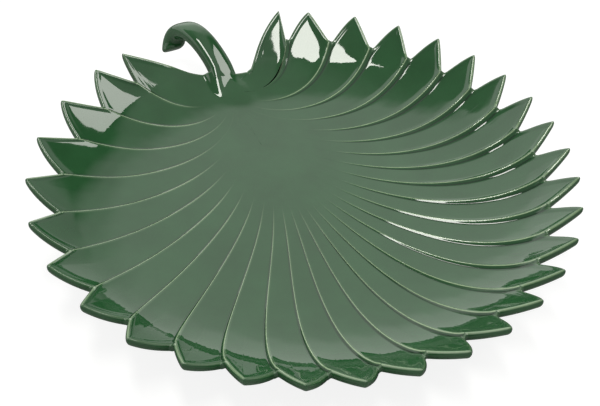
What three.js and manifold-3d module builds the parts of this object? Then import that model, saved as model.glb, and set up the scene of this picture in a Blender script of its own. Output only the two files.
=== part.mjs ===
// Leaf plate: a glazed ceramic serving dish pressed as a fan-palm leaf, with a curled stem for a handle.
// Millimetres, +Z up. The stem points along +Y. Leaflet angles run clockwise from the stem, seen from above.
import * as THREE from 'three';
import { mergeVertices } from 'three/addons/utils/BufferGeometryUtils.js';
import ManifoldModule from 'manifold-3d';

// Leaf outline: pointed leaflets round a circle, with a gap in the ring where the stem leaves
const LEAFLETS = 31;
const TIP_RADIUS = 166;
const NOTCH_DEPTH = 17.6;
const FOOT_DEPTH = 16.5;
const EDGE_BULGE = 0.45;
const SINUS_DEPTH_RIGHT = 34.9;
const SINUS_DEPTH_LEFT = 18.4;
const SINUS_POWER = 2.7;
const STEM_SIDE_ANGLE = 9.12;
const STEM_SECTOR_ANGLE = 20.5;
const TIP_SHARE = 0.497;
const BASAL_LEAN_RIGHT = 0.39;
const BASAL_LEAN_LEFT = 0.34;

// Leaflet widths vary round the rim: one broad swing and one finer one, in degrees of rim
const SPREAD_ANGLE = 9.65;
const SPREAD_TURN = 0.105;
const RIPPLE_ANGLE = 1;
const RIPPLE_TURN = 0.079;

// Pleats start at a pole inside the stem's edge, leave it towards the far tip and bend out to the rim
const POLE_INSET = 10.5;
const FAN_BEND = 1.336;
const FAN_POWER = 1.24;
const FAN_SWIRL = 0.058;

// Dish section
const FLOOR_RADIUS = 33;
const RIM_RISE = 33;
const RISE_POWER = 4.44;
const FLOOR_WALL = 5.5;
const RIM_WALL = 4.2;
const RIM_ROUND = 1;

// Pleat section: each leaflet is a shallow trough that climbs to a crest and drops by a steep flank
const CREST_RISE = 2.2;
const CREST_START = 0.22;
const CREST_POWER = 1.2;
const FLANK_SHARE = 0.066;
const TROUGH_POWER = 1.8;
const UNDERSIDE_SHARE = 0.6;

// Foot ring and the flat land round it
const FOOT_RADIUS = 64;
const FOOT_WIDTH = 6;
const FOOT_HEIGHT = 4.5;
const FOOT_EDGE = 1;
const FOOT_LAND = 18;
const LAND_BLEND = 25;

// Stem: a flat strip that climbs from the neck, bends over more and more to a curl, and leans to the left
const STEM_WIDTH = 18.7;
const STEM_END_WIDTH = 16.8;
const STEM_THICK = 11.4;
const STEM_CORNER = 3.6;
const CORNER_LIMIT = 0.45;
const STEM_LENGTH = 64.2;
const STEM_OFFSET = 2.8;
const NECK_REACH = 4.0;
const NECK_LIFT = 1.3;
const NECK_ANGLE = 33.0;
const STEM_TURN = 170.1;
const TURN_POWER = 2.54;
const STEM_LEAN = 18.9;
const LEAN_POWER = 1.4;
const STEM_END_ROUND = 2.8;

// Root of the stem, part of the leaf: a raised strip that flares and runs down into the leaf's wall
const ROOT_REACH = 24;
const ROOT_WIDTH = 25.6;
const ROOT_SINK = 0.25;

// How finely the faceted solids follow the curves
const TOP_RINGS = 12;
const UNDER_RINGS = 9;
const COARSE_RINGS = 2;
const COLUMNS_PER_LEAFLET = 5;
const CORNER_STEPS = 3;
const ROOT_STEPS = 5;
const STEM_STEPS = 18;
const BEND_STEPS = 40;
const END_STEPS = 3;
const FOOT_SEGMENTS = 96;
const MERGE_DISTANCE = 1e-4;
const JOIN_TOLERANCE = 0.03;

const TURN = 2 * Math.PI;
const notchRadius = TIP_RADIUS - NOTCH_DEPTH;
const footRadius = TIP_RADIUS - FOOT_DEPTH;
const sinusRight = TIP_RADIUS - SINUS_DEPTH_RIGHT;
const sinusLeft = TIP_RADIUS - SINUS_DEPTH_LEFT;
const poleY = sinusRight - POLE_INSET;
const floorUnder = FOOT_HEIGHT;
const floorTop = floorUnder + FLOOR_WALL;
const landRadius = FOOT_RADIUS + FOOT_WIDTH / 2 + FOOT_LAND;
const { degToRad, lerp, smoothstep } = THREE.MathUtils;

// Bearing of a place on the rim; whole numbers are notches, and past the last leaflet comes the stem's gap
function rimAngle(place) {
  if (place > LEAFLETS) {
    const last = rimAngle(LEAFLETS);
    return lerp(last, rimAngle(0) + TURN, place - LEAFLETS);
  }
  const turn = place / LEAFLETS;
  const spread = Math.sin(TURN * (turn + SPREAD_TURN)) - Math.sin(TURN * SPREAD_TURN);
  const ripple = Math.sin(2 * TURN * (turn + RIPPLE_TURN)) - Math.sin(2 * TURN * RIPPLE_TURN);
  const even = STEM_SIDE_ANGLE + (360 - STEM_SECTOR_ANGLE) * turn;
  return degToRad(even + SPREAD_ANGLE * spread + RIPPLE_ANGLE * ripple);
}

// Where in its leaflet the tip stands; the two leaflets beside the stem lean away from it
function tipFraction(leaflet) {
  const share = 1 - TIP_SHARE;
  if (leaflet === 0) return share + BASAL_LEAN_RIGHT;
  if (leaflet === LEAFLETS - 1) return share - BASAL_LEAN_LEFT;
  return share;
}

// Where in its leaflet the flank of the crest before it ends, at the leaflet's own foot
function footFraction(leaflet) {
  return Math.min(FLANK_SHARE, tipFraction(leaflet) / 2);
}

// Radius of the outline: along the flank to the foot, by a full edge to the tip, straight to the next crest;
// in the stem's gap it falls steeply at first and then runs level
function outlineRadius(place) {
  if (place >= LEAFLETS) {
    const ahead = LEAFLETS + 1 - place;
    return lerp(sinusRight, sinusLeft, ahead ** SINUS_POWER);
  }
  const leaflet = Math.floor(place);
  const fraction = place - leaflet;
  const tip = tipFraction(leaflet);
  const foot = footFraction(leaflet);
  const crestBefore = leaflet === 0 ? sinusRight : notchRadius;
  const start = leaflet === 0 ? sinusRight : footRadius;
  const crestAfter = leaflet === LEAFLETS - 1 ? sinusLeft : notchRadius;
  if (fraction <= foot) return lerp(crestBefore, start, fraction / foot);
  if (fraction > tip) return lerp(TIP_RADIUS, crestAfter, (fraction - tip) / (1 - tip));
  const along = (fraction - foot) / (tip - foot);
  return lerp(start, TIP_RADIUS, along + EDGE_BULGE * along * (1 - along));
}

// One pleat line: where it crosses the notch circle, and how far it runs from the pole to the outline
function pleatLine(place) {
  const angle = rimAngle(place);
  const radial = new THREE.Vector2(Math.sin(angle), Math.cos(angle));
  const notch = radial.clone().multiplyScalar(notchRadius);
  const bearing = Math.atan2(notch.x, notch.y - poleY);
  const length = Math.hypot(notch.x, notch.y - poleY);
  const radius = outlineRadius(place);
  const sideways = poleY * Math.sin(bearing);
  const inside = -poleY * Math.cos(bearing) + Math.sqrt(radius ** 2 - sideways ** 2);
  const reach = radius < notchRadius ? inside : length + radius - notchRadius;
  return { place, radial, notch, bearing, length, reach };
}

// Plan point at a distance along a pleat line, and the share of the way to the notch circle;
// the swirl reaches FAN_SWIRL two thirds of the way, where share * share * (1 - share) is 4 / 27
function alongPleat(line, distance) {
  const share = Math.min(distance / line.length, 1);
  const beyond = Math.max(distance - line.length, 0);
  const bend = FAN_BEND * Math.sin(line.bearing) * (1 - share) ** FAN_POWER;
  const swirl = FAN_SWIRL * (27 / 4) * share ** 2 * (1 - share);
  const bearing = line.bearing + bend + swirl;
  const run = share * line.length;
  const point = new THREE.Vector2(run * Math.sin(bearing), poleY + run * Math.cos(bearing));
  return { point: point.addScaledVector(line.radial, beyond), share };
}

function dishShare(radius) {
  return Math.max(radius - FLOOR_RADIUS, 0) / (TIP_RADIUS - FLOOR_RADIUS);
}

function dishHeight(radius) {
  return floorTop + RIM_RISE * dishShare(radius) ** RISE_POWER;
}

function dishSlope(radius) {
  return (RIM_RISE * RISE_POWER * dishShare(radius) ** (RISE_POWER - 1)) / (TIP_RADIUS - FLOOR_RADIUS);
}

// Wall measured straight down, so that it keeps its thickness square to the slope
function wallDepth(radius) {
  const outward = THREE.MathUtils.clamp((radius - landRadius) / (TIP_RADIUS - landRadius), 0, 1);
  return lerp(FLOOR_WALL, RIM_WALL, outward) * Math.hypot(1, dishSlope(radius));
}

// Height of the pleat above the dish, from 0 in the trough to 1 on the crest
function pleatShape(place) {
  const leaflet = Math.floor(place);
  const fraction = place - leaflet;
  const crestBefore = leaflet > 0 && leaflet < LEAFLETS;
  const crestAfter = leaflet < LEAFLETS - 1;
  if (fraction < FLANK_SHARE) return crestBefore ? 1 - fraction / FLANK_SHARE : 0;
  return crestAfter ? ((fraction - FLANK_SHARE) / (1 - FLANK_SHARE)) ** TROUGH_POWER : 0;
}

function pleatHeight(place, share) {
  const outward = Math.max(share - CREST_START, 0) / (1 - CREST_START);
  return CREST_RISE * outward ** CREST_POWER * pleatShape(place);
}

function topPoint(line, part) {
  const { point, share } = alongPleat(line, part * (line.reach - RIM_ROUND));
  const height = dishHeight(point.length()) + pleatHeight(line.place, share);
  return new THREE.Vector3(point.x, point.y, height);
}

function underPoint(line, part) {
  const { point, share } = alongPleat(line, part * (line.reach - RIM_ROUND));
  const radius = point.length();
  const followed = UNDERSIDE_SHARE * pleatHeight(line.place, share);
  const wall = dishHeight(radius) - wallDepth(radius) + followed;
  const lifted = smoothstep(radius, landRadius, landRadius + LAND_BLEND);
  return new THREE.Vector3(point.x, point.y, lerp(floorUnder, wall, lifted));
}

// The rim's outermost line, half way down its thickness
function rimPoint(line) {
  const { point } = alongPleat(line, line.reach);
  const height = (topPoint(line, 1).z + underPoint(line, 1).z) / 2;
  return new THREE.Vector3(point.x, point.y, height);
}

// Joins rings of points, in order, into one closed body; the first and last ring may be a single point
function closedBody(rings) {
  const positions = [];
  const indices = [];
  const number = (point) => positions.push(point.x, point.y, point.z) / 3 - 1;
  const numbered = rings.map((ring) => ring.map(number));
  const face = (a, b, c, flipped) => (flipped ? indices.push(a, c, b) : indices.push(a, b, c));
  for (let k = 1; k < numbered.length; k += 1) {
    const grows = numbered[k].length >= numbered[k - 1].length;
    const few = grows ? numbered[k - 1] : numbered[k];
    const many = grows ? numbered[k] : numbered[k - 1];
    const ratio = many.length / few.length;
    const half = Math.ceil(ratio / 2);
    few.forEach((start, i) => {
      const next = few[(i + 1) % few.length];
      const across = (j) => many[(i * ratio + j) % many.length];
      for (let j = 0; j < ratio; j += 1) face(j < half ? start : next, across(j), across(j + 1), grows);
      if (few.length > 1) face(start, across(half), next, grows);
    });
  }
  const geometry = new THREE.BufferGeometry();
  geometry.setAttribute('position', new THREE.Float32BufferAttribute(positions, 3));
  geometry.setIndex(indices);
  return geometry;
}

function leafShell() {
  const lines = [];
  for (let leaflet = 0; leaflet <= LEAFLETS; leaflet += 1) {
    const tip = tipFraction(leaflet);
    const foot = footFraction(leaflet);
    const fractions = [0, foot, (foot + tip) / 2, tip, (tip + 1) / 2];
    fractions.forEach((fraction) => lines.push(pleatLine(leaflet + fraction)));
  }
  const coarse = lines.filter((line, i) => i % COLUMNS_PER_LEAFLET === 0);
  const surface = (rings, pointOn) => {
    const list = [[pointOn(lines[0], 0)]];
    for (let k = 1; k <= rings; k += 1) {
      const columns = k <= COARSE_RINGS ? coarse : lines;
      list.push(columns.map((line) => pointOn(line, k / rings)));
    }
    return list;
  };
  const top = surface(TOP_RINGS, topPoint);
  const under = surface(UNDER_RINGS, underPoint);
  return closedBody([...top, lines.map(rimPoint), ...under.reverse()]);
}

// Rounded rectangle, clockwise, centred on the strip's centre line: across the strip and through it.
// A corner takes at most CORNER_LIMIT of either side.
function stripSection(width, thick) {
  const corner = Math.min(STEM_CORNER, CORNER_LIMIT * thick, CORNER_LIMIT * width);
  const points = [];
  for (let quarter = 0; quarter < 4; quarter += 1) {
    const across = (width / 2 - corner) * (quarter === 0 || quarter === 3 ? 1 : -1);
    const through = (thick / 2 - corner) * (quarter < 2 ? 1 : -1);
    for (let step = 0; step < CORNER_STEPS; step += 1) {
      const angle = (TURN / 4) * (quarter + step / (CORNER_STEPS - 1));
      const rounded = new THREE.Vector2(Math.cos(angle), Math.sin(angle)).multiplyScalar(corner);
      points.push(rounded.add(new THREE.Vector2(across, through)));
    }
  }
  return points.reverse();
}

// A strip swept through stations; each has its centre, its slope in the plane of the stem and its section
function stripBody(stations) {
  const rings = stations.map(({ x, y, z, slope, width, thick }) =>
    stripSection(width, thick).map(
      ({ x: across, y: up }) =>
        new THREE.Vector3(x + across, y - up * Math.sin(slope), z + up * Math.cos(slope)),
    ),
  );
  const centre = ({ x, y, z }) => [new THREE.Vector3(x, y, z)];
  return closedBody([centre(stations[0]), ...rings, centre(stations[stations.length - 1])]);
}

// Radius of the leaf's edge where the stem crosses it
const edgeRadius = outlineRadius(LEAFLETS + (TURN - rimAngle(LEAFLETS)) / degToRad(STEM_SECTOR_ANGLE));

const neck = {
  x: STEM_OFFSET,
  y: edgeRadius + NECK_REACH,
  z: dishHeight(edgeRadius) + NECK_LIFT,
  slope: degToRad(NECK_ANGLE),
  width: STEM_WIDTH,
  thick: STEM_THICK,
};

// In the plane of the stem, as y and z: the upper face runs straight down into the leaf's wall, as deep as
// ROOT_SINK of it; the lower keeps to the middle of the wall as far as the edge, and then climbs to the neck
function stemRoot() {
  const rootY = neck.y - ROOT_REACH;
  const inWall = (y, share) => new THREE.Vector2(y, dishHeight(y) - share * wallDepth(y));
  const middleUp = new THREE.Vector2(-Math.sin(neck.slope), Math.cos(neck.slope)).multiplyScalar(STEM_THICK / 2);
  const neckMiddle = new THREE.Vector2(neck.y, neck.z);
  const upper = new THREE.LineCurve(inWall(rootY, ROOT_SINK), neckMiddle.clone().add(middleUp));
  const lower = new THREE.CubicBezierCurve(
    inWall(rootY, 0.5),
    inWall((rootY + edgeRadius) / 2, 0.5),
    inWall(edgeRadius, 0.5),
    neckMiddle.clone().sub(middleUp),
  );
  const stations = [];
  for (let k = 0; k < ROOT_STEPS; k += 1) {
    const part = k / ROOT_STEPS;
    const above = upper.getPoint(part);
    const below = lower.getPoint(part);
    const middle = above.clone().lerp(below, 0.5);
    stations.push({
      x: STEM_OFFSET,
      y: middle.x,
      z: middle.y,
      slope: Math.atan2(below.x - above.x, above.y - below.y),
      width: lerp(ROOT_WIDTH, STEM_WIDTH, smoothstep(part, 0, 1)),
      thick: above.distanceTo(below),
    });
  }
  return stripBody([...stations, neck]);
}

// The strip from the neck on: its slope falls as a power of the way along, so that it bends into a curl, and
// its centre line is added up from short straight steps
function stemStrip() {
  const slopeAt = (along) => neck.slope - degToRad(STEM_TURN) * (along / STEM_LENGTH) ** TURN_POWER;
  const station = (along, trim) => {
    const middle = new THREE.Vector2(neck.y, neck.z);
    const step = along / BEND_STEPS;
    for (let k = 0; k < BEND_STEPS; k += 1) {
      const slope = slopeAt((k + 0.5) * step);
      middle.add(new THREE.Vector2(Math.cos(slope), Math.sin(slope)).multiplyScalar(step));
    }
    const share = along / STEM_LENGTH;
    return {
      x: STEM_OFFSET - STEM_LEAN * share ** LEAN_POWER,
      y: middle.x,
      z: middle.y,
      slope: slopeAt(along),
      width: lerp(STEM_WIDTH, STEM_END_WIDTH, share) - 2 * trim,
      thick: STEM_THICK - 2 * trim,
    };
  };
  const stations = [];
  const plain = STEM_LENGTH - STEM_END_ROUND;
  for (let k = 0; k <= STEM_STEPS; k += 1) stations.push(station((plain * k) / STEM_STEPS, 0));
  for (let k = 1; k <= END_STEPS; k += 1) {
    const angle = (TURN / 4) * (k / END_STEPS);
    const along = plain + STEM_END_ROUND * Math.sin(angle);
    stations.push(station(along, STEM_END_ROUND * (1 - Math.cos(angle))));
  }
  return stripBody(stations);
}

function footProfile() {
  const inner = FOOT_RADIUS - FOOT_WIDTH / 2;
  const outer = FOOT_RADIUS + FOOT_WIDTH / 2;
  return [
    new THREE.Vector2(inner, FOOT_HEIGHT),
    new THREE.Vector2(inner, FOOT_EDGE),
    new THREE.Vector2(inner + FOOT_EDGE, 0),
    new THREE.Vector2(outer - FOOT_EDGE, 0),
    new THREE.Vector2(outer, FOOT_EDGE),
    new THREE.Vector2(outer, FOOT_HEIGHT),
    new THREE.Vector2(inner, FOOT_HEIGHT),
  ];
}

function footRing() {
  const lathe = new THREE.LatheGeometry(footProfile(), FOOT_SEGMENTS);
  return lathe.rotateX(Math.PI / 2);
}

const wasm = await ManifoldModule();
wasm.setup();

function toSolid(geometry) {
  const bare = geometry.clone();
  bare.deleteAttribute('normal');
  bare.deleteAttribute('uv');
  const merged = mergeVertices(bare, MERGE_DISTANCE);
  const vertProperties = new Float32Array(merged.attributes.position.array);
  const triVerts = new Uint32Array(merged.index.array);
  return new wasm.Manifold(new wasm.Mesh({ numProp: 3, vertProperties, triVerts }));
}

function toGeometry(solid) {
  const mesh = solid.getMesh();
  const geometry = new THREE.BufferGeometry();
  geometry.setAttribute('position', new THREE.Float32BufferAttribute(mesh.vertProperties, 3));
  geometry.setIndex([...mesh.triVerts]);
  return geometry;
}

function piece(name, geometry, material) {
  const mesh = new THREE.Mesh(geometry, material);
  mesh.name = name;
  return mesh;
}

const glaze = new THREE.MeshStandardMaterial({ color: 0x2f5a40, roughness: 0.08, metalness: 0 });
const bareClay = new THREE.MeshStandardMaterial({ color: 0xd9cfbd, roughness: 0.8, metalness: 0 });

const leaf = toGeometry(toSolid(leafShell()).add(toSolid(stemRoot())).setTolerance(JOIN_TOLERANCE));
const plate = new THREE.Group();
plate.add(piece('leaf_dish', leaf, glaze));
plate.add(piece('stem_handle', stemStrip(), glaze));
plate.add(piece('foot_ring', footRing(), bareClay));

// The origin is the middle of the plate's own box, on the table under the foot
const box = new THREE.Box3().setFromObject(plate, true);
const middle = box.getCenter(new THREE.Vector3());
plate.position.set(-middle.x, -middle.y, -box.min.z);

export default plate;
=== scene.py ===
import bpy
import numpy as np
from mathutils import Matrix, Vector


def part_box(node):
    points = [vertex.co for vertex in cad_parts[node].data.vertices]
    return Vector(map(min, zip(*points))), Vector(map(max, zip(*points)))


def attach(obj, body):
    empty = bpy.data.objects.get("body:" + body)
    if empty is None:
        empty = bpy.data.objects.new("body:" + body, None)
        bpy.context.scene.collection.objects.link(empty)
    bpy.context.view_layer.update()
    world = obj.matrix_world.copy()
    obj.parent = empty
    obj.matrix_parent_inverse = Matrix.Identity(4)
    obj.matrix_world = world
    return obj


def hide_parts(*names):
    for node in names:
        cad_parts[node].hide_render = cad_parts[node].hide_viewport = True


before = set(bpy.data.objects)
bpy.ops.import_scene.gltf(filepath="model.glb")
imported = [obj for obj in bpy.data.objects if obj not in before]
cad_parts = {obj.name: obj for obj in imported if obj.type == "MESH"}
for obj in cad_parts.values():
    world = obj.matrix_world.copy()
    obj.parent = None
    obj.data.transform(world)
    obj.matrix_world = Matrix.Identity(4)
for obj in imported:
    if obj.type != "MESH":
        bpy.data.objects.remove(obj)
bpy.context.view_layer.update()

# The leaf: one slab of white clay pressed in a mould into a fan of pleats, with a saw-toothed rim that rises
# all round, then dipped in clear green glaze. It is the dish itself and carries the stem and the foot.
MM = 0.001
LEAFLETS = 31
TIP_RADIUS = 166.0
TOOTH_DEPTH, PLEAT_FOOT_DEPTH = 17.6, 16.5
GAP_DEPTH_RIGHT, GAP_DEPTH_LEFT = 34.9, 18.4
NOTCH_RADIUS = TIP_RADIUS - TOOTH_DEPTH
PLEAT_FOOT_RADIUS = TIP_RADIUS - PLEAT_FOOT_DEPTH
GAP_RIGHT = TIP_RADIUS - GAP_DEPTH_RIGHT
GAP_LEFT = TIP_RADIUS - GAP_DEPTH_LEFT
GAP_POWER = 2.7
STEM_SIDE, STEM_SECTOR = 9.12, 20.5
TIP_PLACE, LEAN_RIGHT, LEAN_LEFT = 0.503, 0.39, 0.34
EDGE_SWELL = 0.45
TIP_SOFTNESS, NOTCH_SOFTNESS = 1.0, 0.5
SPREAD, SPREAD_TURN = 9.65, 0.105
RIPPLE, RIPPLE_TURN = 1.0, 0.079


def soft_max(a, b, softness):
    """The greater of two values, rounded over by the softness where they cross: the log of the sum of their
    exponentials."""
    return softness * np.logaddexp(a / softness, b / softness)


def soft_min(a, b, softness):
    """The lesser of two values, rounded in the same way."""
    return -soft_max(-a, -b, softness)


def smooth_step(value, low, high):
    """0 below low, 1 above high, and 3t^2 - 2t^3 between."""
    t = np.clip((value - low) / (high - low), 0, 1)
    return t * t * (3 - 2 * t)


def tip_place(leaflet):
    """Where in its leaflet the tip stands; the two beside the stem lean away from it."""
    return TIP_PLACE + np.where(leaflet == 0, LEAN_RIGHT, 0) - np.where(leaflet == LEAFLETS - 1, LEAN_LEFT, 0)


def rim_bearing(place):
    """Bearing clockwise from the stem: even steps round the rim, plus one broad and one finer sine swing that
    make the leaflets wider on one side; past the last leaflet it runs straight on to the first again."""
    def bearing(count):
        turn = 2 * np.pi * count / LEAFLETS
        broad_start, fine_start = 2 * np.pi * SPREAD_TURN, 4 * np.pi * RIPPLE_TURN
        broad = np.sin(turn + broad_start) - np.sin(broad_start)
        fine = np.sin(2 * turn + fine_start) - np.sin(fine_start)
        even = STEM_SIDE + (360 - STEM_SECTOR) * count / LEAFLETS
        return np.radians(even + SPREAD * broad + RIPPLE * fine)

    last = bearing(float(LEAFLETS))
    gap = last + (bearing(0.0) + 2 * np.pi - last) * (place - LEAFLETS)
    return np.where(place > LEAFLETS, gap, bearing(place))


FLANK_SHARE = 0.066


def outline_radius(leaflet, fraction):
    """Radius of the saw-toothed edge: up along the flank to the leaflet's foot, by a full curve
    a + swell a (1 - a) to the tip, and straight down to the next crest; tips and notches are rounded by the
    soft least and greatest. In the stem's gap it falls as a power of the way left to the first leaflet."""
    tip = tip_place(leaflet)
    foot = np.minimum(FLANK_SHARE, tip / 2)
    before = np.where(leaflet == 0, GAP_RIGHT, NOTCH_RADIUS)
    start = np.where(leaflet == 0, GAP_RIGHT, PLEAT_FOOT_RADIUS)
    after = np.where(leaflet == LEAFLETS - 1, GAP_LEFT, NOTCH_RADIUS)
    flank = before + (start - before) * fraction / foot
    along = (fraction - foot) / (tip - foot)
    beyond = 1 + (1 - EDGE_SWELL) * (along - 1)
    swell = np.where(along < 1, along + EDGE_SWELL * along * (1 - along), beyond)
    rising = np.where(fraction < foot, flank, start + (TIP_RADIUS - start) * swell)
    falling = TIP_RADIUS + (after - TIP_RADIUS) * (fraction - tip) / (1 - tip)
    edge = soft_min(rising, falling, TIP_SOFTNESS)
    flank_ahead = NOTCH_RADIUS + (PLEAT_FOOT_RADIUS - NOTCH_RADIUS) / FLANK_SHARE * (fraction - 1)
    fall_behind = NOTCH_RADIUS - (TIP_RADIUS - NOTCH_RADIUS) / (1 - TIP_PLACE) * fraction
    edge = np.where(leaflet < LEAFLETS - 1, soft_max(edge, flank_ahead, NOTCH_SOFTNESS), edge)
    edge = np.where(leaflet > 0, soft_max(edge, fall_behind, NOTCH_SOFTNESS), edge)
    gap = GAP_RIGHT + (GAP_LEFT - GAP_RIGHT) * (1 - fraction) ** GAP_POWER
    return np.where(leaflet == LEAFLETS, gap, edge)


COLUMNS, GAP_COLUMNS, FINE_COLUMNS = 30, 64, 401
CREST_CROWD, FOOT_CROWD, TIP_CROWD = (0.02, 5), (0.025, 4), (0.03, 4)


def leaflet_columns(leaflet, count):
    """Fractions across one leaflet, closer together at its crests, its foot and its tip: even steps of the
    sum of a constant and four bell curves, each with its width and weight. The stem's gap has even steps."""
    even = np.arange(count) / count
    if leaflet == LEAFLETS:
        return even
    fine = np.linspace(0, 1, FINE_COLUMNS)
    tip = tip_place(leaflet)
    foot = min(FLANK_SHARE, tip / 2)
    bells = [(0, *CREST_CROWD), (1, *CREST_CROWD), (foot, *FOOT_CROWD), (tip, *TIP_CROWD)]
    density = 1 + sum(weight * np.exp(-((fine - middle) / width) ** 2) for middle, width, weight in bells)
    total = np.concatenate([[0], np.cumsum((density[1:] + density[:-1]) / 2)])
    return np.interp(even, total / total[-1], fine)


counts = [COLUMNS] * LEAFLETS + [GAP_COLUMNS]
leaflet = np.repeat(np.arange(LEAFLETS + 1), counts)
fraction = np.concatenate([leaflet_columns(i, count) for i, count in enumerate(counts)])
place = leaflet + fraction
from_crest = np.where(fraction > 0.5, fraction - 1, fraction)
nearest_crest = leaflet + (fraction > 0.5)
crested = (nearest_crest > 0) & (nearest_crest < LEAFLETS)

POLE_FROM_GAP = 10.5
POLE_Y = GAP_RIGHT - POLE_FROM_GAP
FAN_BEND, FAN_POWER, FAN_SWIRL = 1.336, 1.24, 0.058


def fan_point(share, bearing, length):
    """Plan point on a pleat line, a share of the way from the pole to the notch circle: it leaves the pole
    bent towards the far tip, swings out as a power of the way left, and swirls a little by
    share^2 (1 - share), which 27/4 brings to 1 at its peak."""
    bend = FAN_BEND * np.sin(bearing) * (1 - share) ** FAN_POWER
    swirl = FAN_SWIRL * 27 / 4 * share ** 2 * (1 - share)
    run = share * length
    return run * np.sin(bearing + bend + swirl), POLE_Y + run * np.cos(bearing + bend + swirl)


FLOOR_TOP = 10.0
LEVEL_RADIUS = 33.0
RIM_RISE, RISE_POWER = 33.0, 4.44
BEND_RADIUS, BEND_SOFTNESS, BEND_TILT = 139.0, 0.5, 0.15


def way_out(radius):
    """Share of the way from the level middle to the tips."""
    return np.maximum(radius - LEVEL_RADIUS, 0) / (TIP_RADIUS - LEVEL_RADIUS)


def past_bend(radius):
    """Distance past the bend where the teeth begin, 0 inside it and rounded over between."""
    return soft_max(radius - BEND_RADIUS, 0, BEND_SOFTNESS)


def dish_height(radius):
    """Height of the bare dish: flat in the middle, then rising as a power of the way to the tips, with a soft
    bend where the teeth begin: past it the teeth swell by a low parabola that ends at the tips."""
    past = past_bend(radius)
    swell = BEND_TILT * past * (1 - past / (TIP_RADIUS - BEND_RADIUS))
    return FLOOR_TOP + RIM_RISE * way_out(radius) ** RISE_POWER + swell


def dish_slope(radius):
    """Steepness of the bare dish, the derivative of its height."""
    bent = (1 + np.tanh((radius - BEND_RADIUS) / (2 * BEND_SOFTNESS))) / 2
    swell = BEND_TILT * bent * (1 - 2 * past_bend(radius) / (TIP_RADIUS - BEND_RADIUS))
    rise = RIM_RISE * RISE_POWER / (TIP_RADIUS - LEVEL_RADIUS) * way_out(radius) ** (RISE_POWER - 1)
    return rise + swell


TROUGH_POWER = 1.15
BROAD_FLANK, NARROW_FLANK = 0.105, 0.06
NARROWS_FROM, NARROWS_TO = 12, 15.5
CREST_ROUND, CREASE_ROUND = 0.09, 0.06
BELOW_TROUGH = -0.2
pleat_flank = BROAD_FLANK + (NARROW_FLANK - BROAD_FLANK) * smooth_step(place, NARROWS_FROM, NARROWS_TO)


def pleat_shape(leaflet, fraction, flank):
    """Height across the pleats from 0 in the trough to 1 on the crest: a power curve climbs to the crest
    ahead and a straight flank drops from the crest behind, with the crest and the crease rounded where they
    meet. The leaflets beside the stem have no crest on its side."""
    def climb(f):
        return (np.maximum(f - flank, 0) / (1 - flank)) ** TROUGH_POWER

    behind = soft_min(1 - fraction / flank, climb(fraction + 1), CREST_ROUND)
    ahead = soft_min(climb(fraction), 1 - (fraction - 1) / flank, CREST_ROUND)
    behind = np.where((leaflet > 0) & (leaflet < LEAFLETS), behind, BELOW_TROUGH)
    ahead = np.where(leaflet < LEAFLETS - 1, ahead, 0)
    return soft_max(behind, ahead, CREASE_ROUND)


profile = pleat_shape(leaflet, fraction, pleat_flank)
SMOOTH_MIDDLE, SMOOTH_SIZE = (2.0, 40.0), (43.0, 55.0)
SMOOTH_START, SMOOTH_END = 0.8, 1.5
POLE_START, POLE_END = 22.0, 48.0


def out_of_middle(x, y):
    """0 in the smooth oval middle of the leaf and round the pole, and 1 well outside them."""
    oval = np.hypot((x - SMOOTH_MIDDLE[0]) / SMOOTH_SIZE[0], (y - SMOOTH_MIDDLE[1]) / SMOOTH_SIZE[1])
    from_pole = np.hypot(x, y - POLE_Y)
    return smooth_step(oval, SMOOTH_START, SMOOTH_END) * smooth_step(from_pole, POLE_START, POLE_END)


CREST_RISE, CREST_START, CREST_POWER = 2.2, 0.22, 3.0
MIDDLE_SHARE = 0.4


def pleat_height(x, y, share):
    """Height of the pleats over the bare dish: their shape across, growing as a power of the way from the
    pole and flattened to a share in the smooth middle."""
    grow = (np.maximum(share - CREST_START, 0) / (1 - CREST_START)) ** CREST_POWER
    flattened = MIDDLE_SHARE + (1 - MIDDLE_SHARE) * out_of_middle(x, y)
    return CREST_RISE * grow * flattened * profile


RIB_RISE, RIB_HALF = 0.9, 1.7
RIB_START, RIB_FULL = 0.62, 0.95
RIBS_FROM, RIBS_TO = 9, 13
angle = rim_bearing(place)
leaflet_width = NOTCH_RADIUS * np.gradient(angle, place)


def crest_rib(share):
    """Height of the low rounded rib on the crests behind and to the right: a bell curve across, growing out
    from the pole and fading towards the front."""
    off = from_crest * leaflet_width * share
    ribbed = crested * (1 - smooth_step(place, RIBS_FROM, RIBS_TO))
    return RIB_RISE * ribbed * smooth_step(share, RIB_START, RIB_FULL) * np.exp(-(off / RIB_HALF) ** 2)


RIM_ROUND, LEAST_FACING = 2.5, 0.45
EDGE_POWER = 8
radial = np.stack([np.sin(angle), np.cos(angle)])
edge_radius = outline_radius(leaflet, fraction)
edge = edge_radius * radial
along_edge = np.roll(edge, -1, 1) - np.roll(edge, 1, 1)
outward = np.stack([-along_edge[1], along_edge[0]]) / np.hypot(*along_edge)
facing = np.maximum((outward * radial).sum(0), LEAST_FACING)
inner_edge = edge - RIM_ROUND / facing * radial
notch = NOTCH_RADIUS * radial
bearing = np.arctan2(notch[0], notch[1] - POLE_Y)
length = np.hypot(notch[0], notch[1] - POLE_Y)
inside = -POLE_Y * np.cos(bearing) + np.sqrt(edge_radius ** 2 - (POLE_Y * np.sin(bearing)) ** 2)
end_share = np.minimum(np.where(edge_radius < NOTCH_RADIUS, inside / length, 1.0), 1.0)
end_point = np.stack(fan_point(end_share, bearing, length))


def leaf_plan(part):
    """Plan points of rows of the leaf, at parts of the way from the pole to the edge: the fan of pleat lines,
    carried on from the notch circle to the edge by an offset that grows as a high power of the way."""
    share = part * end_share
    x, y = fan_point(share, bearing, length)
    grow = part ** EDGE_POWER
    return x + (inner_edge[0] - end_point[0]) * grow, y + (inner_edge[1] - end_point[1]) * grow, share


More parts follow.
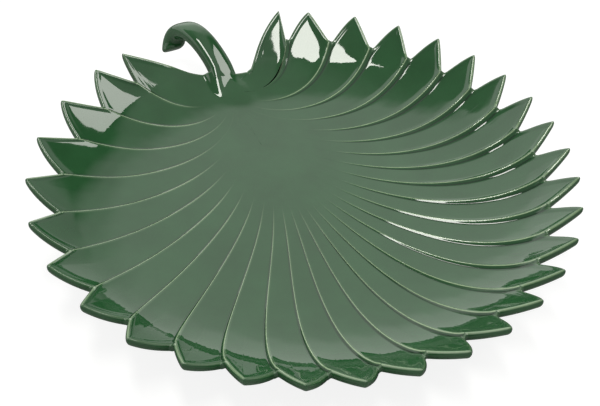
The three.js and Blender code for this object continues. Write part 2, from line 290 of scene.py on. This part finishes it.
STEM_X = 2.8
STEM_THICK = 11.0
STEM_HALF, ROOT_HALF, ROOT_REACH = 9.35, 12.8, 24.0
STEM_BANK = np.radians(15.0)
NECK_SLOPE = np.radians(33.0)
NECK_OUT, NECK_LIFT = 4.0, 1.3
SIDE_START, SIDE_FALL = 8.0, 0.062
ROOT_SINK = 0.3
FILLET_LEFT, FILLET_RIGHT, FILLET_EDGE = 0.5, 3.6, 0.7
FILLET_START, FILLET_END = 6.0, 2.0
stem_place = (2 * np.pi - rim_bearing(np.array(float(LEAFLETS)))) / np.radians(STEM_SECTOR)
stem_edge = outline_radius(np.array(LEAFLETS), stem_place)
neck = np.array([stem_edge + NECK_OUT, dish_height(stem_edge) + NECK_LIFT])
neck_up = np.array([-np.sin(NECK_SLOPE), np.cos(NECK_SLOPE)]) * STEM_THICK / 2
neck_top = neck + neck_up


def with_stem_root(x, y, z):
    """The leaf swept up into the stem's root: the strip's upper face runs straight on down into the leaf,
    banked to the right, and falls away at its sides as a parabola; the greater of it and the leaf is taken,
    softly to the right of the strip."""
    half = ROOT_HALF + (STEM_HALF - ROOT_HALF) * smooth_step(y, neck[0] - ROOT_REACH, neck[0])
    over = np.maximum(np.abs(x - STEM_X) - half + SIDE_START, 0)
    root = neck_top[1] + (y - neck_top[0]) * np.tan(NECK_SLOPE) - SIDE_FALL * over ** 2
    root = root - ROOT_SINK * smooth_step(y, POLE_Y, stem_edge) - (x - STEM_X) * np.tan(STEM_BANK)
    to_edge = smooth_step(y, POLE_Y - FILLET_START, stem_edge - FILLET_END)
    right_fillet = FILLET_RIGHT + (FILLET_EDGE - FILLET_RIGHT) * to_edge
    softness = FILLET_LEFT + (right_fillet - FILLET_LEFT) * smooth_step(x - STEM_X, -half, half)
    return soft_max(z, root, softness)


FLOOR_UNDER = 4.5
FLOOR_WALL, RIM_WALL = 5.5, 4.2
LAND_RADIUS, LAND_BLEND = 85.0, 25.0
UNDERSIDE_SHARE = 0.6


def wall_depth(radius):
    """Thickness of the wall straight down, so that it keeps its thickness square to the slope."""
    way = np.clip((radius - LAND_RADIUS) / (TIP_RADIUS - LAND_RADIUS), 0, 1)
    return (FLOOR_WALL + (RIM_WALL - FLOOR_WALL) * way) * np.hypot(1, dish_slope(radius))


BEAD_RISE, BEAD_WIDTH, BEAD_FADE = 0.45, 2.6, 0.4


def edge_bead(x, y):
    """Height of the low bead along the saw-toothed edge, which fades over its width inwards and beside the
    stem."""
    inwards = (np.hypot(*inner_edge) - np.hypot(x, y)) * facing
    from_stem = smooth_step(place, 0, BEAD_FADE)
    to_stem = smooth_step(place, LEAFLETS - BEAD_FADE, LEAFLETS)
    return BEAD_RISE * from_stem * (1 - to_stem) * (1 - smooth_step(inwards, 0, BEAD_WIDTH))


def leaf_top(part):
    """Upper face: the bare dish, the pleats growing from nothing near the pole, their ribs, the bead along
    the edge and the sweep up to the stem."""
    x, y, share = leaf_plan(part)
    z = dish_height(np.hypot(x, y)) + pleat_height(x, y, share) + crest_rib(share) + edge_bead(x, y)
    return np.stack([x, y, with_stem_root(x, y, z)], -1)


def leaf_under(part):
    """Under face: flat under the floor, blended into a wall that follows the pleats at a share of their
    height."""
    x, y, share = leaf_plan(part)
    radius = np.hypot(x, y)
    wall = dish_height(radius) - wall_depth(radius) + UNDERSIDE_SHARE * pleat_height(x, y, share)
    lifted = smooth_step(radius, LAND_RADIUS, LAND_RADIUS + LAND_BLEND)
    return np.stack([x, y, FLOOR_UNDER + (wall - FLOOR_UNDER) * lifted], -1)


RIM_STEPS = 13
RIM_FULLNESS = 0.85
rim_turn = np.pi / 2 * np.sin(np.pi / 2 * np.linspace(-1, 1, RIM_STEPS + 1)[1:-1])


def rolled_rim(top, under):
    """Rows round the rim: a full half oval, sines and cosines of a turn taken to a power below 1, from the
    upper face out along its slope and back to the under face."""
    turn = rim_turn[:, None, None]
    reach = edge - inner_edge
    rise = dish_slope(np.hypot(top[:, 0], top[:, 1])) * np.hypot(*reach)
    ahead = np.stack([*reach, rise], -1)
    down = np.sign(turn) * np.abs(np.sin(turn)) ** RIM_FULLNESS
    return (top + under) / 2 - down * (top - under) / 2 + np.cos(turn) ** RIM_FULLNESS * ahead


foot_low, foot_high = (np.array(corner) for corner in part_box("foot_ring"))
centre = (foot_low + foot_high) / 2 / MM
centre[2] = 0


def skin(name, rows, capped, values=None):
    """A closed mesh over rows of points, each row closed on itself. A capped mesh has a single point for its
    first and its last row, and any other joins its last row to the first. Faces look away from the inside."""
    def in_one_list(grid):
        inner = grid[1:-1] if capped else grid
        inner = inner.reshape(-1, *grid.shape[2:])
        return np.concatenate([grid[0, :1], inner, grid[-1, :1]]) if capped else inner

    count = rows.shape[1]
    points = in_one_list(rows)
    if capped:
        number = 1 + np.arange(len(rows) - 2)[:, None] * count + np.arange(count)
        start = np.stack([np.zeros(count, int), np.roll(number[0], -1), number[0]], -1)
        end = np.stack([np.full(count, len(points) - 1), number[-1], np.roll(number[-1], -1)], -1)
        first, second = number[:-1], number[1:]
    else:
        number = np.arange(len(rows))[:, None] * count + np.arange(count)
        start = end = np.zeros((0, 3), int)
        first, second = number, np.roll(number, -1, 0)
    quads = np.stack([first, np.roll(first, -1, 1), np.roll(second, -1, 1), second], -1).reshape(-1, 4)
    mesh = bpy.data.meshes.new(name)
    mesh.from_pydata((points + centre) * MM, [], [*start.tolist(), *quads.tolist(), *end.tolist()])
    mesh.update()
    mesh.polygons.foreach_set("use_smooth", np.ones(len(mesh.polygons), bool))
    for key, value in (values or {}).items():
        carried = mesh.attributes.new(key, "FLOAT", "POINT")
        carried.data.foreach_set("value", in_one_list(value).astype(np.float32))
    piece = bpy.data.objects.new(name, mesh)
    bpy.context.scene.collection.objects.link(piece)
    return piece


TOP_ROWS, UNDER_ROWS = 55, 15
POLE_PACE, EDGE_PACE = 0.18, 0.65
NEAR_EDGE = 0.01
edge_steps = np.array([5.0, 4.0, 3.2, 2.5, 1.9, 1.3, 0.8, 0.4, 0.0])
steps = np.linspace(0, 1, TOP_ROWS)
pace = (POLE_PACE + EDGE_PACE - 2) * steps + 3 - 2 * POLE_PACE - EDGE_PACE
top_part = np.clip(pace * steps ** 2 + POLE_PACE * steps, 0, 1)
near_x, near_y, _ = leaf_plan(np.array([[1 - NEAR_EDGE], [1.0]]))
edge_run = np.hypot(near_x[1] - near_x[0], near_y[1] - near_y[0]) / NEAR_EDGE
edge_part = 1 - edge_steps[:, None] / (edge_run * facing)
top_part = np.concatenate([top_part[:-1, None] * (2 * edge_part[0] - edge_part[1]), edge_part])
top = leaf_top(top_part)
under = leaf_under(np.linspace(1, 0, UNDER_ROWS)[:, None])
rim = rolled_rim(top[-1], under[0])
leaf_rows = np.concatenate([top, rim, under])

# Pale lines on the crests and the rim's top: partly glaze run thin, partly painted highlight.
CREST_LINE, CREASE_LINE = 0.37, 0.9
RIM_LINE_TURN, RIM_LINE_WIDTH = np.radians(-62), np.radians(16)
FALLING_LINE, RISING_LINE, LINE_CHANGE = 0.6, 0.15, 0.02
spacing = np.gradient(np.concatenate([top[..., :2], top[:, :1, :2]], 1), axis=1)[:, :-1]
place_step = np.gradient(np.concatenate([place, [LEAFLETS + 1.0]]))[:-1]
width = np.hypot(spacing[..., 0], spacing[..., 1]) / place_step
shown = out_of_middle(top[..., 0], top[..., 1])
crest = crested * shown * np.exp(-(from_crest * width / CREST_LINE) ** 2)
creased = (leaflet > 0) & (leaflet < LEAFLETS)
crease = creased * shown * np.exp(-((fraction - pleat_flank) * width / CREASE_LINE) ** 2)
falls = smooth_step(fraction - tip_place(leaflet), -LINE_CHANGE, LINE_CHANGE) * (leaflet < LEAFLETS)
line_strength = RISING_LINE + (FALLING_LINE - RISING_LINE) * falls
rim_line = np.exp(-((rim_turn - RIM_LINE_TURN) / RIM_LINE_WIDTH) ** 2)[:, None] * line_strength
plain = np.zeros(under.shape[:2])
leaf = skin("leaf", leaf_rows, True, {
    "thin_glaze_and_highlight": np.concatenate([crest, rim_line, plain]),
    "pool": np.concatenate([crease, 0 * rim_line, plain]),
})
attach(leaf, "root")
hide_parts("leaf_dish")


def new_material(name):
    """A new material with its nodes, its links and the shader that it starts with."""
    made = bpy.data.materials.new(name)
    made.use_nodes = True
    return made, made.node_tree.nodes, made.node_tree.links, made.node_tree.nodes["Principled BSDF"]


def two_colours(nodes, links, factor, first, last, start=0.0, end=1.0):
    """A colour that runs from the first to the last as the factor goes from start to end."""
    node = nodes.new("ShaderNodeValToRGB")
    for element, position, colour in zip(node.color_ramp.elements, (start, end), (first, last)):
        element.position = position
        element.color = colour
    links.new(factor, node.inputs["Fac"])
    return node.outputs["Color"]


def mix_colours(nodes, links, factor, a, b, kind="MIX"):
    """A mix of two colours by a factor; each of the three is a socket or a plain value."""
    node = nodes.new("ShaderNodeMix")
    node.data_type = "RGBA"
    node.blend_type = kind
    for key, value in (("Factor", factor), ("A", a), ("B", b)):
        if isinstance(value, bpy.types.NodeSocket):
            links.new(value, node.inputs[key])
        else:
            node.inputs[key].default_value = value
    return node.outputs["Result"]


def bump(nodes, links, height, strength, distance, shader):
    """A bump of the shader's normal by a height, in metres at full strength."""
    node = nodes.new("ShaderNodeBump")
    node.inputs["Strength"].default_value = strength
    node.inputs["Distance"].default_value = distance
    links.new(height, node.inputs["Height"])
    links.new(node.outputs["Normal"], shader.inputs["Normal"])


fired = bpy.data.node_groups.new("fired_clouds", "ShaderNodeTree")
for socket in ("Scale", "Detail", "Smoothest", "Roughest"):
    fired.interface.new_socket(socket, in_out="INPUT", socket_type="NodeSocketFloat")
for socket in ("Cloud", "Roughness"):
    fired.interface.new_socket(socket, in_out="OUTPUT", socket_type="NodeSocketFloat")
given = fired.nodes.new("NodeGroupInput")
result = fired.nodes.new("NodeGroupOutput")
where = fired.nodes.new("ShaderNodeTexCoord")
clouds = fired.nodes.new("ShaderNodeTexNoise")
spread = fired.nodes.new("ShaderNodeMapRange")
fired.links.new(where.outputs["Object"], clouds.inputs["Vector"])
fired.links.new(given.outputs["Scale"], clouds.inputs["Scale"])
fired.links.new(given.outputs["Detail"], clouds.inputs["Detail"])
fired.links.new(clouds.outputs["Fac"], spread.inputs["Value"])
fired.links.new(given.outputs["Smoothest"], spread.inputs["To Min"])
fired.links.new(given.outputs["Roughest"], spread.inputs["To Max"])
fired.links.new(clouds.outputs["Fac"], result.inputs["Cloud"])
fired.links.new(spread.outputs["Result"], result.inputs["Roughness"])


def fired_clouds(nodes, scale, detail, smoothest, roughest):
    """The cloudy unevenness of a fired surface, placed in a material with its own values."""
    node = nodes.new("ShaderNodeGroup")
    node.node_tree = fired
    node.inputs["Scale"].default_value = scale
    node.inputs["Detail"].default_value = detail
    node.inputs["Smoothest"].default_value = smoothest
    node.inputs["Roughest"].default_value = roughest
    return node


def attribute(nodes, name):
    """A value that the mesh carries at its points."""
    node = nodes.new("ShaderNodeAttribute")
    node.attribute_name = name
    return node.outputs["Fac"]


GLAZE_GREEN, POOL_GREEN = (0.017, 0.080, 0.026, 1), (0.006, 0.030, 0.011, 1)
# Pale green of the crest and rim lines: thin glaze in part, painted highlight in part.
THIN_GLAZE_AND_HIGHLIGHT_GREEN = (0.42, 0.56, 0.35, 1)
CLOUD_DARK, CLOUD_LIGHT = (0.84, 0.88, 0.84, 1), (1.12, 1.10, 1.10, 1)
CLOUD_START, CLOUD_END = 0.3, 0.7
GLAZE_IOR = 1.7
WAVE_SCALE, WAVE_DETAIL, WAVE_STRENGTH, WAVE_DEPTH = 75, 1, 0.17, 0.0006
glaze, nodes, links, shader = new_material("green_glaze")
shader.inputs["IOR"].default_value = GLAZE_IOR
green = two_colours(nodes, links, attribute(nodes, "thin_glaze_and_highlight"), GLAZE_GREEN, THIN_GLAZE_AND_HIGHLIGHT_GREEN)
green = mix_colours(nodes, links, attribute(nodes, "pool"), green, POOL_GREEN)
clouds = fired_clouds(nodes, scale=45, detail=4, smoothest=0.02, roughest=0.06)
tint = two_colours(nodes, links, clouds.outputs["Cloud"], CLOUD_DARK, CLOUD_LIGHT, CLOUD_START, CLOUD_END)
green = mix_colours(nodes, links, 1.0, green, tint, "MULTIPLY")
links.new(green, shader.inputs["Base Color"])
links.new(clouds.outputs["Roughness"], shader.inputs["Roughness"])
where = nodes.new("ShaderNodeTexCoord")
waves = nodes.new("ShaderNodeTexNoise")
waves.inputs["Scale"].default_value = WAVE_SCALE
waves.inputs["Detail"].default_value = WAVE_DETAIL
links.new(where.outputs["Object"], waves.inputs["Vector"])
bump(nodes, links, waves.outputs["Fac"], WAVE_STRENGTH, WAVE_DEPTH, shader)
leaf.data.materials.append(glaze)

# The stem: a flat strip of the same clay, joined to the leaf with slip while both were soft, arched up and
# curled over for a handle, and glazed with the dish.
STEM_LENGTH, STEM_TURN, TURN_POWER = 64.2, np.radians(170.1), 2.54
STEM_LEAN, LEAN_POWER = 18.9, 1.4
STEM_END_HALF = 8.4
END_ROUND = 2.8
ROOT_STATIONS, STEM_STATIONS, END_STATIONS, FINE_STATIONS = 16, 72, 9, 2001
ROOT_START = 0.35
START_SINK, SINK_END = 1.2, 0.85
BANK_END = 0.7


def bezier(a, b, c, d, t):
    """Points on a cubic curve with two ends and two handles."""
    t = t[:, None]
    return (1 - t) ** 3 * a + 3 * (1 - t) ** 2 * t * b + 3 * (1 - t) * t ** 2 * c + t ** 3 * d


def in_wall(y):
    """The middle of the leaf's wall in the plane of the stem."""
    return np.array([y, dish_height(y) - wall_depth(y) / 2])


def stem_slope(along):
    """Slope of the strip: it falls from the neck's as a power of the way along, so that the strip curls."""
    return NECK_SLOPE - STEM_TURN * (along / STEM_LENGTH) ** TURN_POWER


def stem_middle(along):
    """Centre line of the strip in the plane of the stem, added up from short straight steps."""
    fine = np.linspace(0, STEM_LENGTH, FINE_STATIONS)
    step = fine[1]
    slope = stem_slope(fine[1:] - step / 2)
    y = neck[0] + np.concatenate([[0], np.cumsum(np.cos(slope))]) * step
    z = neck[1] + np.concatenate([[0], np.cumsum(np.sin(slope))]) * step
    return np.stack([np.interp(along, fine, y), np.interp(along, fine, z)], -1)


root_part = np.linspace(ROOT_START, 1, ROOT_STATIONS, endpoint=False)
root_y = neck[0] - ROOT_REACH
root_top = neck_top - (neck_top[0] - root_y) * np.array([1, np.tan(NECK_SLOPE)])
sunk = START_SINK * (1 - smooth_step(root_part, ROOT_START, SINK_END))
upper = root_top + (neck_top - root_top) * root_part[:, None]
upper = upper - np.column_stack([np.zeros(ROOT_STATIONS), sunk])
half_way = in_wall((root_y + stem_edge) / 2)
lower = bezier(in_wall(root_y), half_way, in_wall(stem_edge), neck - neck_up, root_part)
cap = np.linspace(0, np.pi / 2, END_STATIONS)[1:]
plain_length = STEM_LENGTH - END_ROUND
along = np.concatenate([np.linspace(0, plain_length, STEM_STATIONS), plain_length + END_ROUND * np.sin(cap)])
trim = np.concatenate([np.zeros(STEM_STATIONS), END_ROUND * (1 - np.cos(cap))])
middles = np.concatenate([(upper + lower) / 2, stem_middle(along)])
root_slope = np.arctan2(lower[:, 0] - upper[:, 0], upper[:, 1] - lower[:, 1])
slopes = np.concatenate([root_slope, stem_slope(along)])
lean = STEM_LEAN * (along / STEM_LENGTH) ** LEAN_POWER
shifts = STEM_X - np.concatenate([np.zeros(ROOT_STATIONS), lean])
strip_half = STEM_HALF + (STEM_END_HALF - STEM_HALF) * along / STEM_LENGTH - trim
halves = np.concatenate([np.full(ROOT_STATIONS, STEM_HALF), strip_half])
thicks = np.concatenate([np.hypot(*(upper - lower).T), STEM_THICK - 2 * trim])
levelling = 1 - smooth_step(along, 0, BANK_END * STEM_LENGTH)
banks = STEM_BANK * np.concatenate([np.ones(ROOT_STATIONS), levelling])

SECTION_POINTS = 64
SECTION_POWER = 2 / 2.7


def strip_rings(middles, slopes, shifts, halves, thicks, banks):
    """Rings of the strip: full ovals, the cosine and sine of a turn taken to a power below 1, across the
    strip and through it, each turned by the bank and set square to the centre line."""
    turn = 2 * np.pi * np.arange(SECTION_POINTS) / SECTION_POINTS
    flat_across = np.sign(np.cos(turn)) * np.abs(np.cos(turn)) ** SECTION_POWER * halves[:, None]
    flat_through = np.sign(np.sin(turn)) * np.abs(np.sin(turn)) ** SECTION_POWER * thicks[:, None] / 2
    bank = banks[:, None]
    across = flat_across * np.cos(bank) + flat_through * np.sin(bank)
    through = flat_through * np.cos(bank) - flat_across * np.sin(bank)
    y = middles[:, :1] - through * np.sin(slopes)[:, None]
    z = middles[:, 1:] + through * np.cos(slopes)[:, None]
    return np.stack([shifts[:, None] + across, y, z], -1)[:, ::-1]


rings = strip_rings(middles, slopes, shifts, halves, thicks, banks)
ends = np.column_stack([shifts[[0, -1]], middles[[0, -1]]])[:, None, :] * np.ones((1, SECTION_POINTS, 1))
stem_rows = np.concatenate([ends[:1], rings, ends[1:]])
bare = np.zeros(stem_rows.shape[:2])
stem = skin("stem", stem_rows, True, {"thin_glaze_and_highlight": bare, "pool": bare})
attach(stem, "root")
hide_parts("stem_handle")
stem.data.materials.append(glaze)

# The foot: a ring of clay thrown or pressed under the floor, wiped clean of glaze so that it does not stick
# to the kiln shelf; the plate stands on its flat edge.
RING_INNER, RING_OUTER, RING_ROUND = 61.0, 67.0, 1.0
CORNER_POINTS, RING_STEPS = 7, 192


def ring_section():
    """Section of the ring: an oblong up to the under face of the floor, with its two lower corners rounded to
    quarter circles."""
    corner = np.pi / 2 * np.linspace(0, 1, CORNER_POINTS)
    from_cosine, from_sine = RING_ROUND * (1 - np.cos(corner)), RING_ROUND * (1 - np.sin(corner))
    inside = np.stack([RING_INNER + from_sine, from_cosine], -1)[::-1]
    outside = np.stack([RING_OUTER - from_cosine, from_sine], -1)[::-1]
    return np.concatenate([[[RING_INNER, FLOOR_UNDER]], inside, outside, [[RING_OUTER, FLOOR_UNDER]]])


section = ring_section()
turn = np.linspace(0, 2 * np.pi, RING_STEPS + 1)[:-1]
ring_x, ring_y = section[:, :1] * np.cos(turn), section[:, :1] * np.sin(turn)
ring_rows = np.stack([ring_x, ring_y, section[:, 1:] * np.ones(RING_STEPS)], -1)
foot = skin("foot", ring_rows, False)
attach(foot, "root")
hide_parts("foot_ring")

CLAY_DARK, CLAY_LIGHT = (0.55, 0.48, 0.38, 1), (0.74, 0.67, 0.56, 1)
GRAIN_STRENGTH, GRAIN_DEPTH = 0.4, 0.0003
clay, nodes, links, shader = new_material("bare_clay")
grain = fired_clouds(nodes, scale=900, detail=3, smoothest=0.75, roughest=0.95)
clay_colour = two_colours(nodes, links, grain.outputs["Cloud"], CLAY_DARK, CLAY_LIGHT)
links.new(clay_colour, shader.inputs["Base Color"])
links.new(grain.outputs["Roughness"], shader.inputs["Roughness"])
bump(nodes, links, grain.outputs["Cloud"], GRAIN_STRENGTH, GRAIN_DEPTH, shader)
foot.data.materials.append(clay)

# The set: a pale floor and a soft studio light, with the camera where the photograph was taken from. The
# floor is near white to the camera with the plate's shadow on it, a darker grey in the glaze's mirror, which
# is painted shade for the floor shaded by the plate, and clear from below.
PAPER_HALF, PAPER_LEVEL = 4.0, -0.0001
PAPER_GREY, PAPER_GLOW, PAPER_ROUGHNESS = (0.25, 0.25, 0.25, 1), 0.85, 0.9
# Painted shade: the floor in the glaze's mirror is a darker grey, standing in for the plate's shadow on it.
LIT_GREY, MIRROR_SHADE_GREY = (0.75, 0.75, 0.75, 1), (0.36, 0.36, 0.36, 1)
WHITE = (1, 1, 1, 1)
floor_mesh = bpy.data.meshes.new("floor")
corners = PAPER_HALF * np.array([(-1, -1), (1, -1), (1, 1), (-1, 1)])
floor_mesh.from_pydata(np.column_stack([corners, np.full(4, PAPER_LEVEL)]), [], [(0, 1, 2, 3)])
floor = bpy.data.objects.new("floor", floor_mesh)
bpy.context.scene.collection.objects.link(floor)

paper, nodes, links, shader = new_material("floor_paper")
shader.inputs["Base Color"].default_value = PAPER_GREY
shader.inputs["Roughness"].default_value = PAPER_ROUGHNESS
shader.inputs["Specular IOR Level"].default_value = 0
shader.inputs["Emission Color"].default_value = WHITE
shader.inputs["Emission Strength"].default_value = PAPER_GLOW
path = nodes.new("ShaderNodeLightPath")
lighting = nodes.new("ShaderNodeBsdfDiffuse")
# Painted shade: the floor's colour is darker for glossy rays only.
floor_and_mirror_shade_colour = mix_colours(nodes, links, path.outputs["Is Glossy Ray"], LIT_GREY, MIRROR_SHADE_GREY)
links.new(floor_and_mirror_shade_colour, lighting.inputs["Color"])
seen = nodes.new("ShaderNodeMath")
seen.operation = "MAXIMUM"
links.new(path.outputs["Is Camera Ray"], seen.inputs[0])
links.new(path.outputs["Is Transmission Ray"], seen.inputs[1])
from_above = nodes.new("ShaderNodeMixShader")
links.new(seen.outputs[0], from_above.inputs[0])
links.new(lighting.outputs[0], from_above.inputs[1])
links.new(shader.outputs[0], from_above.inputs[2])
face = nodes.new("ShaderNodeNewGeometry")
clear = nodes.new("ShaderNodeBsdfTransparent")
either_side = nodes.new("ShaderNodeMixShader")
links.new(face.outputs["Backfacing"], either_side.inputs[0])
links.new(from_above.outputs[0], either_side.inputs[1])
links.new(clear.outputs[0], either_side.inputs[2])
links.new(either_side.outputs[0], nodes["Material Output"].inputs["Surface"])
floor_mesh.materials.append(paper)

CAMERA_TURN, CAMERA_TILT, CAMERA_ROLL = np.radians([28.2251, 43.2095, -2.2361])
world = bpy.data.worlds.new("studio")
bpy.context.scene.world = world
world.use_nodes = True
nodes, links = world.node_tree.nodes, world.node_tree.links
direction = nodes.new("ShaderNodeTexCoord")
turned = nodes.new("ShaderNodeVectorRotate")
turned.rotation_type = "Z_AXIS"
turned.inputs["Angle"].default_value = CAMERA_TURN
split = nodes.new("ShaderNodeSeparateXYZ")
round_the_room = nodes.new("ShaderNodeMath")
round_the_room.operation = "ARCTAN2"
turn_share = nodes.new("ShaderNodeMapRange")
turn_share.inputs["From Min"].default_value = -np.pi
turn_share.inputs["From Max"].default_value = np.pi
links.new(direction.outputs["Generated"], turned.inputs["Vector"])
links.new(turned.outputs[0], split.inputs[0])
links.new(split.outputs["X"], round_the_room.inputs[0])
links.new(split.outputs["Y"], round_the_room.inputs[1])
links.new(round_the_room.outputs[0], turn_share.inputs["Value"])
ROOM_BLUE = 0.97


def level_round(stops):
    """A grey level by the bearing round the room, in degrees to the right of straight away from the
    camera."""
    level = nodes.new("ShaderNodeValToRGB")
    level.color_ramp.interpolation = "EASE"
    level.color_ramp.elements[0].position = 0.0
    level.color_ramp.elements[1].position = 1.0
    inner = [level.color_ramp.elements.new((bearing + 180) / 360) for bearing, _ in stops[1:-1]]
    placed = [level.color_ramp.elements[0], *inner, level.color_ramp.elements[-1]]
    for (_, grey), element in zip(stops, sorted(placed, key=lambda one: one.position)):
        element.color = (grey, grey, grey * ROOM_BLUE, 1)
    links.new(turn_share.outputs[0], level.inputs["Fac"])
    return level.outputs["Color"]


def smooth_rise(value, low, high):
    """0 below low and 1 above high, with a smooth step between them, made of nodes."""
    node = nodes.new("ShaderNodeMapRange")
    node.interpolation_type = "SMOOTHSTEP"
    node.inputs["From Min"].default_value = low
    node.inputs["From Max"].default_value = high
    links.new(value, node.inputs["Value"])
    return node.outputs["Result"]


WALL_FOOT_LOW, WALL_FOOT_HIGH, WALL_TOP_SOFTNESS = 0.34, 0.45, 0.04
walls = level_round([(-180, 0.25), (-130, 0.3), (-105, 1.35), (-60, 1.2), (-25, 1.1), (8, 1.05), (21, 0.72),
                     (37, 0.08), (52, 0.08), (75, 0.5), (130, 0.3), (180, 0.25)])
ceiling = level_round([(-180, 0.3), (-90, 0.22), (-40, 0.25), (10, 0.48), (100, 0.6), (180, 0.4)])
wall_top = level_round([(-180, 0.7), (-130, 0.66), (-62, 0.64), (-38, 0.8), (10, 0.78), (100, 0.85),
                        (180, 0.7)])
far_floor = level_round([(-180, 0.4), (-100, 0.95), (-60, 1.0), (-20, 1.35), (4, 1.35), (14, 0.95), (24, 0.5),
                         (45, 0.65), (180, 0.4)])
above_wall = nodes.new("ShaderNodeMath")
above_wall.operation = "SUBTRACT"
links.new(split.outputs["Z"], above_wall.inputs[0])
links.new(wall_top, above_wall.inputs[1])
on_wall = smooth_rise(split.outputs["Z"], WALL_FOOT_LOW, WALL_FOOT_HIGH)
on_ceiling = smooth_rise(above_wall.outputs[0], -WALL_TOP_SOFTNESS, WALL_TOP_SOFTNESS)
room = mix_colours(nodes, links, on_wall, far_floor, walls)
room = mix_colours(nodes, links, on_ceiling, room, ceiling)
path = nodes.new("ShaderNodeLightPath")
backdrop = mix_colours(nodes, links, path.outputs["Is Camera Ray"], room, WHITE)
links.new(backdrop, nodes["Background"].inputs["Color"])
nodes["Background"].inputs["Strength"].default_value = 1.0

right_flat = np.array([np.cos(CAMERA_TURN), -np.sin(CAMERA_TURN), 0])
away_flat = np.array([np.sin(CAMERA_TURN), np.cos(CAMERA_TURN), 0])
straight_up = np.array([0, 0, 1.0])


def in_view(right, away, up):
    """A point or a way in the frame, from metres to the camera's right, away from it and up."""
    return right * right_flat + away * away_flat + up * straight_up


def placing(first, second, third, point):
    """The matrix that turns an object's three axes to the given ones and moves it to the point."""
    return Matrix(np.vstack([np.column_stack([first, second, third, point]), [0, 0, 0, 1]]).tolist())


def soft_box(name, middle, across, size, radiance, colour):
    """A flat soft light that faces the plate: a rectangle with its middle, the way its first edge runs and
    its size, as bright as told when seen."""
    data = bpy.data.lights.new(name, "AREA")
    data.shape = "RECTANGLE"
    data.size, data.size_y = size
    data.energy = radiance * np.pi * size[0] * size[1]
    data.color = colour
    lamp = bpy.data.objects.new(name, data)
    bpy.context.scene.collection.objects.link(lamp)
    back = middle / np.linalg.norm(middle)
    across = across - back * (across @ back)
    across = across / np.linalg.norm(across)
    lamp.matrix_world = placing(across, np.cross(back, across), back, middle)
    lamp.visible_camera = False


soft_box("overhead", middle=in_view(-0.08, -0.07, 1.0), across=in_view(-0.36, 0.93, 0),
         size=(0.62, 0.22), radiance=11.0, colour=(1, 1, 0.94))
soft_box("window", middle=in_view(1.003, 0.54, 1.124), across=in_view(-0.076, 0.45, -0.18),
         size=(0.51, 0.62), radiance=4.5, colour=(1, 1, 0.95))

CAMERA_AIM = np.array([-23.5839, -39.2605, 50.75])
CAMERA_DISTANCE = 0.563393
SENSOR_WIDTH, LENS = 36, 60
forward = np.cos(CAMERA_TILT) * away_flat - np.sin(CAMERA_TILT) * straight_up
above = np.cross(right_flat, forward)
eye = (CAMERA_AIM + centre) * MM - CAMERA_DISTANCE * forward
camera_right = right_flat * np.cos(CAMERA_ROLL) - above * np.sin(CAMERA_ROLL)
camera_up = right_flat * np.sin(CAMERA_ROLL) + above * np.cos(CAMERA_ROLL)
camera_data = bpy.data.cameras.new("camera")
camera_data.sensor_width = SENSOR_WIDTH
camera_data.lens = LENS
camera = bpy.data.objects.new("camera", camera_data)
bpy.context.scene.collection.objects.link(camera)
camera.matrix_world = placing(camera_right, camera_up, -forward, eye)
bpy.context.scene.camera = camera
bpy.context.scene.view_settings.view_transform = "Standard"
